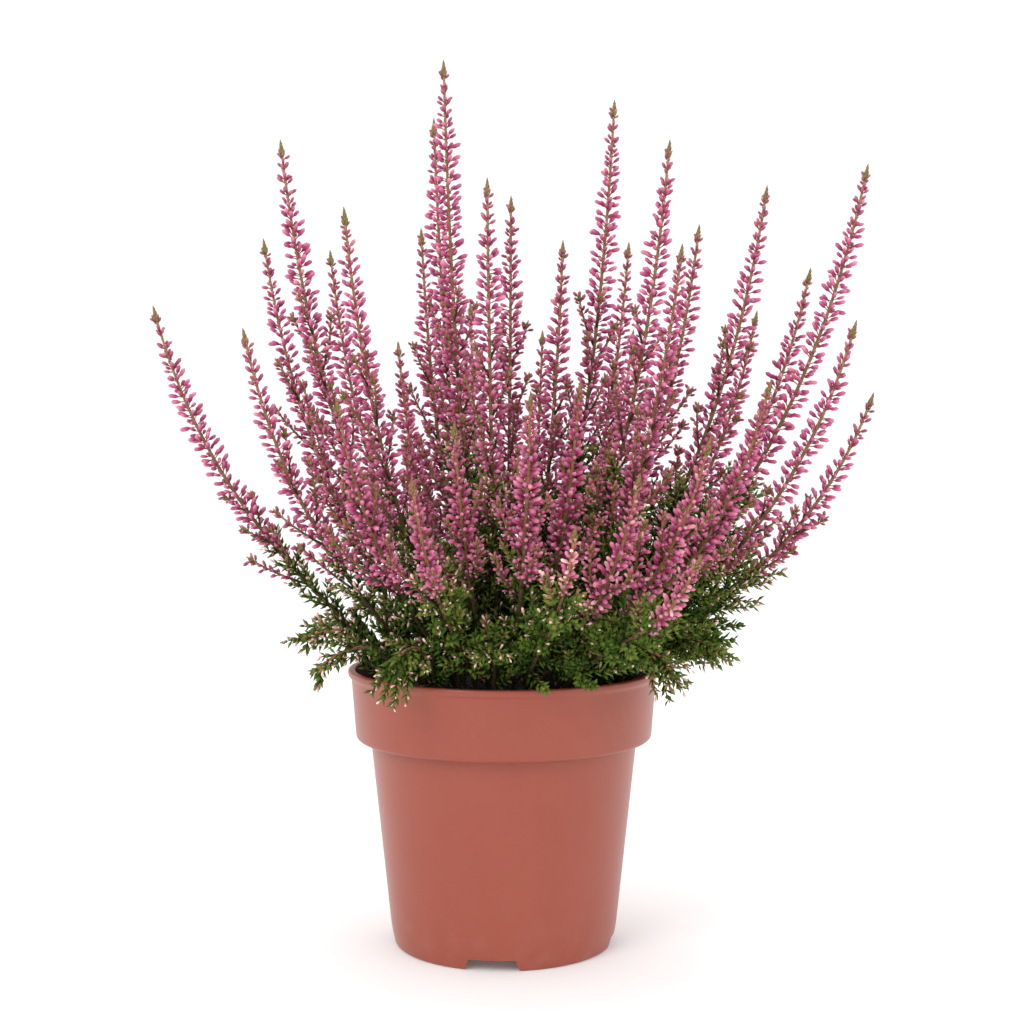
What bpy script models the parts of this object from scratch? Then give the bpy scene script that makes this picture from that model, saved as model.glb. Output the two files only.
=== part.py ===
"""Potted heather: bud-bloomer heather in a tapered plastic nursery pot.

Metres, +Z up. The origin is the middle of the pot's foot, on the pot's axis, and -Y is the front.
"""

import math
import random
from itertools import combinations

import bmesh
import bpy
from mathutils import Matrix, Quaternion, Vector

# Pot: outside sizes, then the moulding's wall
RIM_RADIUS = 0.0600
POT_HEIGHT = 0.1069
RIM_BEAD = 0.0022
RIM_ROUND = 0.0006
RIM_LIP = 0.0008
BAND_TOP_RADIUS = 0.05875
BAND_FOOT_RADIUS = 0.05695
BAND_FOOT_Z = 0.0800
BAND_FOOT_ROUND = 0.0017
BODY_TOP_RADIUS = 0.0514
BODY_FOOT_RADIUS = 0.0436
BODY_FOOT_Z = 0.0065
FOOT_RADIUS = 0.0409
FOOT_ROUND = 0.0018
FOOT_FLAT = 0.0017
FOOT_DRAFT = 0.0005
WALL = 0.0015
INNER_LEDGE_RADIUS = 0.0547
INNER_FOOT_RADIUS = 0.0412
FLOOR_UNDER_Z = 0.0055
FLOOR_THICKNESS = 0.0013
POT_STEPS = 32

# Notches in the foot, one of them almost in front, and the drainage holes in the floor
NOTCH_COUNT = 4
NOTCH_TURN = math.radians(-96)
NOTCH_WIDTH = 0.0175
NOTCH_HEIGHT = 0.0044
NOTCH_SPREAD = 1.35
DRAIN_RADIUS = 0.0038
DRAIN_RING = 0.0250
DRAIN_SIDES = 8

# Soil
SOIL_MIDDLE_Z = 0.1008
SOIL_BROW_Z = 0.1004
SOIL_BROW_SHARE = 0.55
SOIL_EDGE_Z = 0.0980
SOIL_GAP = 0.0004
SOIL_STEPS = 20

# Stems: three-sided, each standing in a plain hole in the soil
STEM_SINK = 0.0120
STEM_START_Z = 0.1020
STEM_FOOT_RADIUS = 0.0014
BLOOM_RADIUS = (0.0008, 0.0016)
HOLE_MARGIN = 0.0008
HOLE_SPARE_DEPTH = 0.0006
ROOT_SHARE = 0.33
ROOT_SPACING = 0.0072
ROOT_REACH = 0.0500
SPREAD_ROUNDS = 80
NECK_OUT = 0.15
NECK_UP = 0.20
NECK_UP_LEAST = 0.0220
ELBOW_OUT = 0.74
ELBOW_UP = 0.36

# Buds: six on each step of a flowering stem, smaller and more upright towards the tip
BLOOM_SHARE = 0.63
BUD_STEP = (0.0046, 0.0074)
BUD_LENGTH = (0.0030, 0.0062)
BUD_LIFT = (math.radians(56), math.radians(30))
BUD_SWAY = math.radians(9)
BUD_RIPE = 0.045
BUD_UNEVEN = (0.88, 1.10)
TIP_LENGTH = 0.0070

# Leaves: six needles on each step of a leafy stem
LEAF_STEP = 0.0120
LEAF_LENGTH = 0.0085
LEAF_LIFT = math.radians(50)
LEAF_CLEAR = 0.0150
SHOOT_LEAF_STEP = 0.0085
SHOOT_LEAF_LENGTH = 0.0080
LEAF_UNEVEN = (0.80, 1.10)

# Where the tip of each flower spire stands
SPIRE_TIPS = [
    (-0.137, 0.015, 0.247), (-0.094, -0.042, 0.236), (-0.098, 0.048, 0.276), (-0.085, 0.000, 0.309),
    (-0.058, -0.035, 0.280), (-0.046, 0.095, 0.236), (-0.058, -0.070, 0.211), (-0.034, 0.055, 0.281),
    (-0.023, 0.005, 0.340), (-0.028, 0.038, 0.323), (-0.006, -0.030, 0.291), (0.003, 0.045, 0.293),
    (0.017, 0.100, 0.241), (0.023, 0.010, 0.272), (0.027, -0.060, 0.217), (0.044, 0.030, 0.329),
    (0.053, 0.075, 0.277), (0.062, -0.015, 0.307), (0.063, -0.055, 0.265), (0.079, 0.040, 0.281),
    (0.102, 0.010, 0.293), (0.107, 0.072, 0.248), (0.094, -0.060, 0.217), (0.125, 0.045, 0.264),
    (0.139, 0.000, 0.300), (0.128, -0.038, 0.239), (0.141, -0.006, 0.213), (0.009, -0.095, 0.213),
    (0.069, -0.095, 0.198), (0.045, -0.102, 0.186), (0.063, -0.125, 0.161), (-0.030, -0.110, 0.185),
    (0.023, -0.122, 0.170), (-0.017, -0.075, 0.203), (-0.075, 0.092, 0.275), (-0.015, 0.125, 0.255),
    (0.058, 0.118, 0.242), (-0.046, 0.128, 0.222),
]

# Leafy shoots: the direction that each leans in, in degrees, and how far from the pot's axis
# it stands and its tip reaches, and the tip's height
SHOOTS = [
    (192, 0.047, 0.082, 0.118), (216, 0.047, 0.086, 0.111), (239, 0.047, 0.078, 0.116),
    (266, 0.047, 0.074, 0.122), (318, 0.047, 0.082, 0.114), (335, 0.047, 0.088, 0.118),
    (8, 0.047, 0.086, 0.113), (50, 0.047, 0.078, 0.124),
    (80, 0.047, 0.082, 0.118), (123, 0.047, 0.080, 0.118), (142, 0.047, 0.080, 0.124),
    (160, 0.047, 0.086, 0.115), (224, 0.034, 0.050, 0.150), (241, 0.034, 0.050, 0.156),
    (330, 0.034, 0.050, 0.148), (100, 0.034, 0.050, 0.150),
    (144, 0.034, 0.050, 0.150), (42, 0.034, 0.050, 0.150),
]
SHOOT_RADIUS = (0.0014, 0.0008)
SHOOT_CREST_OUT = 0.25
SHOOT_CREST_RISE = 0.0060
SHOOT_CREST_Z = 0.132

# Places of the bud's and the leaf's colour in a stem's list of materials
BUD = 1
LEAF = 2

UP = Vector((0.0, 0.0, 1.0))
rng = random.Random(7)


def clear_scene():
    for item in list(bpy.data.objects):
        bpy.data.objects.remove(item, do_unlink=True)


def make_collection(name):
    group = bpy.data.collections.new(name)
    bpy.context.scene.collection.children.link(group)
    return group


def make_material(name, colour, roughness):
    material = bpy.data.materials.new(name)
    material.use_nodes = True
    shader = material.node_tree.nodes["Principled BSDF"]
    shader.inputs["Base Color"].default_value = (*colour, 1.0)
    shader.inputs["Roughness"].default_value = roughness
    shader.inputs["Metallic"].default_value = 0.0
    material.diffuse_color = (*colour, 1.0)
    return material


def add_object(name, mesh, group, material=None):
    item = bpy.data.objects.new(name, mesh)
    group.objects.link(item)
    if material:
        mesh.materials.append(material)
    return item


def blend(ends, share):
    """A value that goes from the first of ends to the second as share goes from 0 to 1."""
    share = min(max(share, 0.0), 1.0)
    return ends[0] + (ends[1] - ends[0]) * share


def turned(name, profile, steps, group, material):
    """A solid turned from a profile of (radius, height) that starts and ends on the axis."""
    mesh = bpy.data.meshes.new(name)
    corners = [(radius, 0.0, height) for radius, height in profile]
    mesh.from_pydata(corners, [(i, i + 1) for i in range(len(corners) - 1)], [])
    item = add_object(name, mesh, group, material)
    screw = item.modifiers.new("Turn", "SCREW")
    screw.axis = "Z"
    screw.steps = steps
    screw.render_steps = steps
    screw.use_merge_vertices = True
    screw.merge_threshold = 0.00001
    screw.use_smooth_shade = True
    return item


def pot_profile():
    floor_z = FLOOR_UNDER_Z + FLOOR_THICKNESS
    inner = [
        (0.0, floor_z),
        (INNER_FOOT_RADIUS, floor_z),
        (BODY_TOP_RADIUS - WALL, BAND_FOOT_Z - WALL / 2),
        (INNER_LEDGE_RADIUS, BAND_FOOT_Z + WALL),
        (BAND_TOP_RADIUS - WALL, POT_HEIGHT - RIM_ROUND),
    ]
    rim = [
        (BAND_TOP_RADIUS - RIM_LIP, POT_HEIGHT),
        (RIM_RADIUS - RIM_ROUND, POT_HEIGHT),
        (RIM_RADIUS, POT_HEIGHT - RIM_ROUND),
        (RIM_RADIUS, POT_HEIGHT - RIM_BEAD),
        (BAND_TOP_RADIUS, POT_HEIGHT - 1.5 * RIM_BEAD),
    ]
    band = [
        (BAND_FOOT_RADIUS, BAND_FOOT_Z + BAND_FOOT_ROUND),
        (BAND_FOOT_RADIUS - BAND_FOOT_ROUND, BAND_FOOT_Z),
        (BODY_TOP_RADIUS, BAND_FOOT_Z),
    ]
    foot = [
        (BODY_FOOT_RADIUS, BODY_FOOT_Z),
        (BODY_FOOT_RADIUS - FOOT_ROUND / 2, FOOT_ROUND),
        (FOOT_RADIUS, 0.0),
        (FOOT_RADIUS - FOOT_FLAT, 0.0),
        (FOOT_RADIUS - FOOT_FLAT - FOOT_DRAFT, FLOOR_UNDER_Z),
        (0.0, FLOOR_UNDER_Z),
    ]
    return inner + rim + band + foot


def add_notch_cutter(bm, turn):
    """A block across the foot ring, wider at the bottom, that opens a drainage notch."""
    block = bmesh.ops.create_cube(bm, size=1.0)["verts"]
    depth = BODY_FOOT_RADIUS
    for vert in block:
        low = vert.co.z < 0
        vert.co.x = depth * (vert.co.x + 1.0)
        vert.co.y *= NOTCH_WIDTH * (NOTCH_SPREAD if low else 1.0)
        vert.co.z = -NOTCH_HEIGHT if low else NOTCH_HEIGHT
    bmesh.ops.rotate(bm, verts=block, cent=(0, 0, 0), matrix=Matrix.Rotation(turn, 3, "Z"))


def add_drain_cutter(bm, turn):
    place = Matrix.Rotation(turn, 4, "Z") @ Matrix.Translation((DRAIN_RING, 0, FLOOR_UNDER_Z))
    bmesh.ops.create_cone(
        bm, cap_ends=True, segments=DRAIN_SIDES, radius1=DRAIN_RADIUS, radius2=DRAIN_RADIUS,
        depth=4 * FLOOR_THICKNESS, matrix=place,
    )


def cut(item, bm, name, cutters):
    """Subtract what bm holds, a set of closed blocks, from item."""
    mesh = bpy.data.meshes.new(name)
    bm.to_mesh(mesh)
    bm.free()
    tool = add_object(name, mesh, cutters)
    tool.display_type = "WIRE"
    tool.hide_render = True
    boolean = item.modifiers.new(name, "BOOLEAN")
    boolean.operation = "DIFFERENCE"
    boolean.solver = "EXACT"
    boolean.object = tool


def make_pot(parts, cutters):
    plastic = make_material("terracotta_plastic", (0.50, 0.13, 0.07), 0.45)
    pot = turned("pot", pot_profile(), POT_STEPS, parts, plastic)
    tools = bmesh.new()
    quarter = math.tau / NOTCH_COUNT
    for i in range(NOTCH_COUNT):
        add_notch_cutter(tools, NOTCH_TURN + i * quarter)
        add_drain_cutter(tools, NOTCH_TURN + (i + 0.5) * quarter)
    cut(pot, tools, "pot_openings", cutters)
    return pot


def soil_profile():
    """The space inside the pot, less a small gap and the flats of the two many-sided walls."""
    flat = math.cos(math.pi / POT_STEPS)
    floor_z = FLOOR_UNDER_Z + FLOOR_THICKNESS + SOIL_GAP
    lip = INNER_LEDGE_RADIUS * flat - SOIL_GAP
    slope = (BAND_TOP_RADIUS - WALL - INNER_LEDGE_RADIUS) / (POT_HEIGHT - BAND_FOOT_Z - WALL)
    edge = lip + slope * (SOIL_EDGE_Z - BAND_FOOT_Z - WALL)
    return [
        (0.0, SOIL_MIDDLE_Z),
        (edge * SOIL_BROW_SHARE, SOIL_BROW_Z),
        (edge, SOIL_EDGE_Z),
        (lip, BAND_FOOT_Z + WALL + SOIL_GAP),
        ((BODY_TOP_RADIUS - WALL) * flat - SOIL_GAP, BAND_FOOT_Z - WALL / 2 + SOIL_GAP),
        (INNER_FOOT_RADIUS * flat - SOIL_GAP, floor_z),
        (0.0, floor_z),
    ]


def make_soil(parts, cutters, roots):
    """Potting soil, with one plain three-sided hole for each stem that stands in it."""
    earth = make_material("potting_soil", (0.035, 0.022, 0.015), 0.95)
    soil = turned("soil", soil_profile(), SOIL_STEPS, parts, earth)
    tools = bmesh.new()
    depth = STEM_SINK + HOLE_SPARE_DEPTH
    for root in roots:
        middle = (root.x, root.y, STEM_START_Z - depth / 2)
        place = Matrix.Translation(middle) @ Matrix.Rotation(-math.tau / 4, 4, "Z")
        bmesh.ops.create_cone(
            tools, cap_ends=True, segments=3, radius1=STEM_FOOT_RADIUS + HOLE_MARGIN,
            radius2=STEM_FOOT_RADIUS + HOLE_MARGIN, depth=depth, matrix=place,
        )
    cut(soil, tools, "stem_holes", cutters)
    return soil


class Path:
    """A smooth curve through space that is read by the distance along it."""

    SAMPLES = 80
    HALF_SPAN = 0.002

    def __init__(self, corners):
        self.points = [self.bezier(corners, i / self.SAMPLES) for i in range(self.SAMPLES + 1)]
        self.marks = [0.0]
        for last, point in zip(self.points, self.points[1:]):
            self.marks.append(self.marks[-1] + (point - last).length)
        self.length = self.marks[-1]

    @staticmethod
    def bezier(corners, share):
        level = list(corners)
        while len(level) > 1:
            level = [a.lerp(b, share) for a, b in zip(level, level[1:])]
        return level[0]

    def at(self, distance):
        distance = min(max(distance, 0.0), self.length)
        i = min(int(distance / self.length * self.SAMPLES), self.SAMPLES - 1)
        while i > 0 and self.marks[i] > distance:
            i -= 1
        while i < self.SAMPLES - 1 and self.marks[i + 1] < distance:
            i += 1
        share = (distance - self.marks[i]) / (self.marks[i + 1] - self.marks[i])
        return self.points[i].lerp(self.points[i + 1], share)

    def direction(self, distance):
        """The curve's direction, taken over a short span about the given distance."""
        ahead = self.at(distance + self.HALF_SPAN)
        behind = self.at(distance - self.HALF_SPAN)
        return (ahead - behind).normalized()


class Stem:
    """A three-sided stem that grows step by step, and whose faces can be drawn out to points."""

    def __init__(self, root):
        self.bm = bmesh.new()
        self.heading = UP
        self.turn = Quaternion()
        self.phase = 0.0
        foot = self.add_ring(root - UP * STEM_SINK, STEM_FOOT_RADIUS)
        self.ring = self.add_ring(root, STEM_FOOT_RADIUS)
        self.bm.faces.new(foot[::-1])
        for i in range(3):
            j = (i + 1) % 3
            self.bm.faces.new((foot[i], foot[j], self.ring[j], self.ring[i]))

    def add_ring(self, centre, radius):
        corners = []
        for i in range(3):
            angle = self.phase + i * math.tau / 3
            spoke = Vector((math.cos(angle), math.sin(angle), 0.0)) * radius
            corners.append(self.bm.verts.new(centre + self.turn @ spoke))
        return corners

    def grow(self, centre, heading, radius):
        """One step, up to a ring turned by half a side. Returns the step's six faces."""
        self.turn = self.heading.rotation_difference(heading) @ self.turn
        self.heading = heading
        self.phase += math.tau / 6
        ring = self.add_ring(centre, radius)
        faces = []
        for i in range(3):
            j = (i + 1) % 3
            faces.append(self.bm.faces.new((self.ring[i], self.ring[j], ring[i])))
            faces.append(self.bm.faces.new((self.ring[j], ring[j], ring[i])))
        self.ring = ring
        return faces

    def add_spike(self, face, length, lift, colour):
        """Draw a face out to a point that is lifted from straight outwards towards the stem's tip."""
        face.normal_update()
        out = face.normal - self.heading * face.normal.dot(self.heading)
        aim = out.normalized() * math.cos(lift) + self.heading * math.sin(lift)
        point = face.calc_center_median() + aim * length
        spike = bmesh.ops.poke(self.bm, faces=[face])
        spike["verts"][0].co = point
        for side in spike["faces"]:
            side.material_index = colour

    def close(self, tip):
        apex = self.bm.verts.new(tip)
        for i in range(3):
            self.bm.faces.new((self.ring[i], self.ring[(i + 1) % 3], apex))

    def finish(self, name, group, materials):
        mesh = bpy.data.meshes.new(name)
        self.bm.to_mesh(mesh)
        self.bm.free()
        for material in materials:
            mesh.materials.append(material)
        return add_object(name, mesh, group)


def spread_roots(roots):
    """Move stems apart that would stand too near each other in the soil, and keep them inside it."""
    for _ in range(SPREAD_ROUNDS):
        for one, other in combinations(roots, 2):
            gap = other - one
            short = ROOT_SPACING - gap.length
            if short > 0:
                push = gap.normalized() * (short / 2)
                one -= push
                other += push
        for root in roots:
            if root.length > ROOT_REACH:
                root *= ROOT_REACH / root.length
    return [Vector((root.x, root.y, STEM_START_Z)) for root in roots]


def spire_path(root, tip):
    """A stem that leaves the soil almost upright, leans out at its neck and turns up at its elbow."""
    reach = tip - root
    neck = Vector((reach.x * NECK_OUT, reach.y * NECK_OUT, max(reach.z * NECK_UP, NECK_UP_LEAST)))
    elbow = Vector((reach.x * ELBOW_OUT, reach.y * ELBOW_OUT, reach.z * ELBOW_UP))
    elbow.z = max(elbow.z, neck.z)
    return Path([root, root + neck, root + elbow, tip])


def bloom_stops(length):
    """Where the steps of a flowering stem end, as distances below its tip, from the tip down."""
    stops = [TIP_LENGTH]
    while stops[-1] < length * BLOOM_SHARE:
        stops.append(stops[-1] + blend(BUD_STEP, (stops[-1] - TIP_LENGTH) / BUD_RIPE))
    return stops


def grow_spire(name, root, tip, group, materials):
    path = spire_path(root, tip)
    stops = bloom_stops(path.length)
    bloom_start = path.length - stops[-1]
    stem = Stem(root)
    stem.grow(path.at(LEAF_CLEAR), path.direction(LEAF_CLEAR), STEM_FOOT_RADIUS)
    steps = max(round((bloom_start - LEAF_CLEAR) / LEAF_STEP), 1)
    for i in range(steps):
        distance = LEAF_CLEAR + (bloom_start - LEAF_CLEAR) * (i + 1) / steps
        for face in stem.grow(path.at(distance), path.direction(distance), STEM_FOOT_RADIUS):
            stem.add_spike(face, LEAF_LENGTH * rng.uniform(*LEAF_UNEVEN), LEAF_LIFT, LEAF)
    for below in reversed(stops[:-1]):
        distance = path.length - below
        ripe = (below - TIP_LENGTH) / BUD_RIPE
        for face in stem.grow(path.at(distance), path.direction(distance), blend(BLOOM_RADIUS, ripe)):
            length = blend(BUD_LENGTH, ripe) * rng.uniform(*BUD_UNEVEN)
            lift = blend(BUD_LIFT, ripe) + rng.uniform(-BUD_SWAY, BUD_SWAY)
            stem.add_spike(face, length, lift, BUD)
    stem.close(tip)
    return stem.finish(name, group, materials)


def heading(degrees):
    """A level unit vector, counted from +X towards +Y."""
    turn = math.radians(degrees)
    return Vector((math.cos(turn), math.sin(turn), 0.0))


def shoot_path(root, tip):
    """A shoot that rises clear of the rim before it leans out."""
    crest = root.lerp(tip, SHOOT_CREST_OUT)
    crest.z = max(tip.z + SHOOT_CREST_RISE, SHOOT_CREST_Z)
    return Path([root, crest, tip])


def grow_shoot(name, root, tip, group, materials):
    path = shoot_path(root, tip)
    stem = Stem(root)
    steps = round((path.length - SHOOT_LEAF_STEP) / SHOOT_LEAF_STEP)
    for i in range(steps):
        distance = path.length * (i + 1) / (steps + 1)
        radius = blend(SHOOT_RADIUS, distance / path.length)
        for face in stem.grow(path.at(distance), path.direction(distance), radius):
            length = SHOOT_LEAF_LENGTH * rng.uniform(*LEAF_UNEVEN)
            stem.add_spike(face, length, LEAF_LIFT, LEAF)
    stem.close(tip)
    return stem.finish(name, group, materials)


def main():
    clear_scene()
    parts = make_collection("potted_heather")
    cutters = make_collection("cutters")
    cutters.hide_render = True
    finishes = [
        make_material("heather_stem", (0.16, 0.11, 0.04), 0.8),
        make_material("heather_bud", (0.55, 0.10, 0.27), 0.7),
        make_material("heather_leaf", (0.07, 0.14, 0.035), 0.7),
    ]
    tips = [Vector(place) for place in SPIRE_TIPS]
    roots = [tip.xy * ROOT_SHARE for tip in tips]
    roots += [Vector(heading(lean).xy) * stand for lean, stand, _, _ in SHOOTS]
    roots = spread_roots(roots)
    for i, tip in enumerate(tips):
        grow_spire(f"spire_{i + 1:02d}", roots[i], tip, parts, finishes)
    for i, (lean, _, reach, height) in enumerate(SHOOTS):
        tip = heading(lean) * reach + Vector((0.0, 0.0, height))
        grow_shoot(f"shoot_{i + 1:02d}", roots[len(tips) + i], tip, parts, finishes)
    make_pot(parts, cutters)
    make_soil(parts, cutters, roots)


main()
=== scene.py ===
import math
from itertools import combinations

import bmesh
import bpy
import numpy as np
from mathutils import Matrix, Vector


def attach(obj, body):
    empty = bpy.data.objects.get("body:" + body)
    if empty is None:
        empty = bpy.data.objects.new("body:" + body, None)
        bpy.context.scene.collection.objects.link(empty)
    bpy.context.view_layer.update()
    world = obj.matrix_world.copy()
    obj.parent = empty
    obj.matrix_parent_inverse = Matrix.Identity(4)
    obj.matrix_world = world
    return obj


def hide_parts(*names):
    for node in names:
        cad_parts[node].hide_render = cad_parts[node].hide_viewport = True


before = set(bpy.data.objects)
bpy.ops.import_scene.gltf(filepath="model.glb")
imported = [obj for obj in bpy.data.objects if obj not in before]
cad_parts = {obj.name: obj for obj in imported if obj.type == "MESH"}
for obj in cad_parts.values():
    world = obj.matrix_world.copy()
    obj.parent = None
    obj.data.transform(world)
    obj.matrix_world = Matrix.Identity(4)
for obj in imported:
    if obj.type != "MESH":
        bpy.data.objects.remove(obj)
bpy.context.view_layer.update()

# Sizes and places are in metres, +Z up, from the middle of the pot's foot. A pair is the value at
# a form's start and at its end, or the least and the most of a random draw. Tilts and
# BUD_LIFT_SPREAD are in degrees, and turns and their spreads in radians.
SEED = 11
rng = np.random.default_rng(SEED)
TINY = 1e-12

# Pot, as in the CAD: outside sizes, then the moulding's wall, notches and drainage holes
RIM_RADIUS = 0.0600
POT_HEIGHT = 0.1069
RIM_BEAD = 0.0022
BEAD_FADE = 1.5
BEAD_FOOT_Z = POT_HEIGHT - BEAD_FADE * RIM_BEAD
BAND_TOP_RADIUS = 0.05875
BAND_FOOT_RADIUS = 0.05695
BAND_FOOT_Z = 0.0800
BODY_TOP_RADIUS = 0.0514
BODY_FOOT_RADIUS = 0.0436
BODY_FOOT_Z = 0.0065
FOOT_RADIUS = 0.0409
FOOT_FLARE = 0.0012
FOOT_FLAT = 0.0017
FOOT_DRAFT = 0.0005
WALL = 0.0015
INNER_LEDGE_RADIUS = 0.0547
INNER_FOOT_RADIUS = 0.0412
FLOOR_UNDER_Z = 0.0055
FLOOR_THICKNESS = 0.0013
FLOOR_TOP_Z = FLOOR_UNDER_Z + FLOOR_THICKNESS
NOTCHES = 4
NOTCH_TURN = math.radians(-96)
NOTCH_WIDTH = 0.0175
NOTCH_HEIGHT = 0.0044
NOTCH_SPREAD = 1.35
DRAIN_RADIUS = 0.0038
DRAIN_RING = 0.0250
DRAIN_CUT = 4 * FLOOR_THICKNESS

# Half outline of the pot, from the middle of its floor up the inside, over the rim and down the
# outside to the foot: each corner, then the radius that rounds it
POT_OUTLINE = [
    ((0.0, FLOOR_TOP_Z), 0.0),
    ((INNER_FOOT_RADIUS, FLOOR_TOP_Z), 0.0012),
    ((BODY_TOP_RADIUS - WALL, BAND_FOOT_Z - WALL / 2), 0.0008),
    ((INNER_LEDGE_RADIUS, BAND_FOOT_Z + WALL), 0.0012),
    ((BAND_TOP_RADIUS - WALL, POT_HEIGHT), 0.0008),
    ((RIM_RADIUS, POT_HEIGHT), 0.0009),
    ((RIM_RADIUS, POT_HEIGHT - RIM_BEAD), 0.0008),
    ((BAND_TOP_RADIUS, BEAD_FOOT_Z), 0.0008),
    ((BAND_FOOT_RADIUS, BAND_FOOT_Z), 0.0020),
    ((BODY_TOP_RADIUS, BAND_FOOT_Z), 0.0006),
    ((BODY_FOOT_RADIUS, BODY_FOOT_Z), 0.0040),
    ((FOOT_RADIUS + FOOT_FLARE, 0.0), 0.0030),
    ((FOOT_RADIUS - FOOT_FLAT, 0.0), 0.0003),
    ((FOOT_RADIUS - FOOT_FLAT - FOOT_DRAFT, FLOOR_UNDER_Z), 0.0006),
    ((0.0, FLOOR_UNDER_Z), 0.0),
]
POT_STEPS = 160
DRAIN_SIDES = 24
ROUND_STEPS = 5
ROUND_MOST = 0.48
POT_MERGE = 0.00001
POT_SHARP = math.radians(38)

# Soil, as in the CAD, and the crumbs that lie on it
SOIL_TOP_Z = 0.1008
SOIL_DOME = 0.0028
SOIL_RADIUS = 0.0555
CRUMBS = 900
CRUMB_REACH = 0.0545
CRUMB_SIZES = [0.0006, 0.0010, 0.0017]
CRUMB_CHANCES = [0.50, 0.35, 0.15]
CRUMB_SPREAD = (0.7, 1.3)
CRUMB_LUMPS = (0.60, 1.25)
CRUMB_RISE = 0.2

# Stems, as in the CAD: where they stand in the soil and how they bend on their way to the tip
STEM_SINK = 0.0120
STEM_START_Z = 0.1020
ROOT_SHARE = 0.33
ROOT_SPACING = 0.0072
ROOT_REACH = 0.0500
SPREAD_ROUNDS = 80
NECK_OUT = 0.15
NECK_UP = 0.20
NECK_UP_LEAST = 0.0220
ELBOW_OUT = 0.74
ELBOW_UP = 0.36
SHOOT_CREST_OUT = 0.25
SHOOT_CREST_RISE = 0.0060
SHOOT_CREST_Z = 0.132

# Tip of each flower spire, from spire_01 on
SPIRE_TIPS = [
    (-0.137, 0.015, 0.247), (-0.094, -0.042, 0.236), (-0.098, 0.048, 0.276), (-0.085, 0.000, 0.309),
    (-0.058, -0.035, 0.280), (-0.046, 0.095, 0.236), (-0.058, -0.070, 0.211), (-0.034, 0.055, 0.281),
    (-0.023, 0.005, 0.340), (-0.028, 0.038, 0.323), (-0.006, -0.030, 0.291), (0.003, 0.045, 0.293),
    (0.017, 0.100, 0.241), (0.023, 0.010, 0.272), (0.027, -0.060, 0.217), (0.044, 0.030, 0.329),
    (0.053, 0.075, 0.277), (0.062, -0.015, 0.307), (0.063, -0.055, 0.265), (0.079, 0.040, 0.281),
    (0.102, 0.010, 0.293), (0.107, 0.072, 0.248), (0.094, -0.060, 0.217), (0.125, 0.045, 0.264),
    (0.139, 0.000, 0.300), (0.128, -0.038, 0.239), (0.141, -0.006, 0.213), (0.009, -0.095, 0.213),
    (0.069, -0.095, 0.198), (0.045, -0.102, 0.186), (0.063, -0.125, 0.161), (-0.030, -0.110, 0.185),
    (0.023, -0.122, 0.170), (-0.017, -0.075, 0.203), (-0.075, 0.092, 0.275), (-0.015, 0.125, 0.255),
    (0.058, 0.118, 0.242), (-0.046, 0.128, 0.222),
]

# Leafy shoots, from shoot_01 on: bearing in degrees, then how far from the axis the foot stands,
# how far out the tip reaches, and the tip's height
SHOOTS = [
    (192, 0.047, 0.082, 0.118), (216, 0.047, 0.086, 0.111), (239, 0.047, 0.078, 0.116),
    (266, 0.047, 0.074, 0.122), (318, 0.047, 0.082, 0.114), (335, 0.047, 0.088, 0.118),
    (8, 0.047, 0.086, 0.113), (50, 0.047, 0.078, 0.124), (80, 0.047, 0.082, 0.118),
    (123, 0.047, 0.080, 0.118), (142, 0.047, 0.080, 0.124), (160, 0.047, 0.086, 0.115),
    (224, 0.034, 0.050, 0.150), (241, 0.034, 0.050, 0.156), (330, 0.034, 0.050, 0.148),
    (100, 0.034, 0.050, 0.150), (144, 0.034, 0.050, 0.150), (42, 0.034, 0.050, 0.150),
]

# Woody part of the stems
STEM_RADIUS = (0.0010, 0.00045)
STEM_SIDES = 6
STEM_STEP = 0.0040
STEM_RINGS_LEAST = 4
STEM_SHORT = 0.0020
BARK_TINTS = (0.2, 0.8)
BURIED_TINT = 0.3

# Buds round a stem, in tiers. The pairs are for the tip of the stem and for a ripe bud, which is
# BUD_RIPE or more below it.
BUD_SIDES = 5
BUD_GAP = (0.00092, 0.00061)
BUD_LENGTH = (0.0029, 0.0064)
BUD_LIFT = (math.radians(52), math.radians(27))
BUD_RIPE = 0.040
RIPE_CURVE = 0.8
BUD_LIFT_SPREAD = 12
BUD_LENGTH_SPREAD = (0.76, 1.14)
BUD_TURN_SPREAD = 0.25
BUD_TINT = 0.38
BUD_TINT_SPREAD = 0.20
BUD_TINT_MOST = 0.70
LOWEST_BUD_SIZE = 0.60
LOWEST_BUDS_REACH = 0.035
TIER_BUDS = 6
TIER_CLOSE = 0.60
TIER_GAP = 3.0
TIER_SPREAD = (0.75, 1.25)
BLOOM_SHARE = 0.63
BLOOM_OVERLAP = 0.0020
FRONT_Y = -0.050
FRONT_CROWDING = 0.80

# How much paler the buds of some front spires are
PALE_SPIRES = {"spire_29": 0.06, "spire_30": 0.10, "spire_31": 0.15, "spire_33": 0.24}

# Height at which the bloom starts: for a tip over the middle and for one that far to a side or
# further, then for single spires
BLOOM_FLOOR = (0.150, 0.139)
BLOOM_FLOOR_WIDE = 0.065
LOW_BLOOMS = {"spire_29": 0.131, "spire_30": 0.132, "spire_31": 0.133}

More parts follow.
